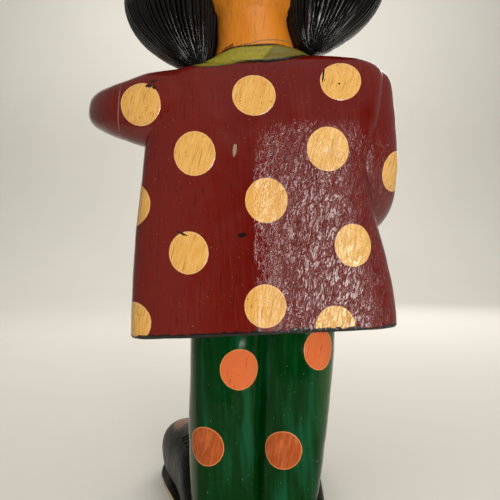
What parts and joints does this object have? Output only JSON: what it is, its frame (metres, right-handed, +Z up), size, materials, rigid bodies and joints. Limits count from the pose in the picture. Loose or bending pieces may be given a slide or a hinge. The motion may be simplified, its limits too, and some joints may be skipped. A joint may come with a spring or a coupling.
{
  "type": "carved wooden clown figure",
  "caption": "Standing clown carved from one block of wood and painted: boxy spotted jacket, spotted trousers, big round-toed shoes, two tufts of hair, one arm raised to the chest.",
  "frame": {"origin": "middle of the figure's footprint box, on the floor under the flat soles", "axes": "+Z up to the crown of the head; the figure faces -Y; its left hand is at +X"},
  "size_m": [0.2682, 0.186, 0.52],
  "materials": {
    "painted_wood": "Hand-carved wood under brushed gloss paint: maroon jacket with golden cream dots, dark green trousers with orange dots, tan skin, black hair and shoes, olive neckerchief; worn to the wood at the edges."
  },
  "bodies": {
    "root": {"clown_figure": "painted_wood"}
  },
  "joints": []
}
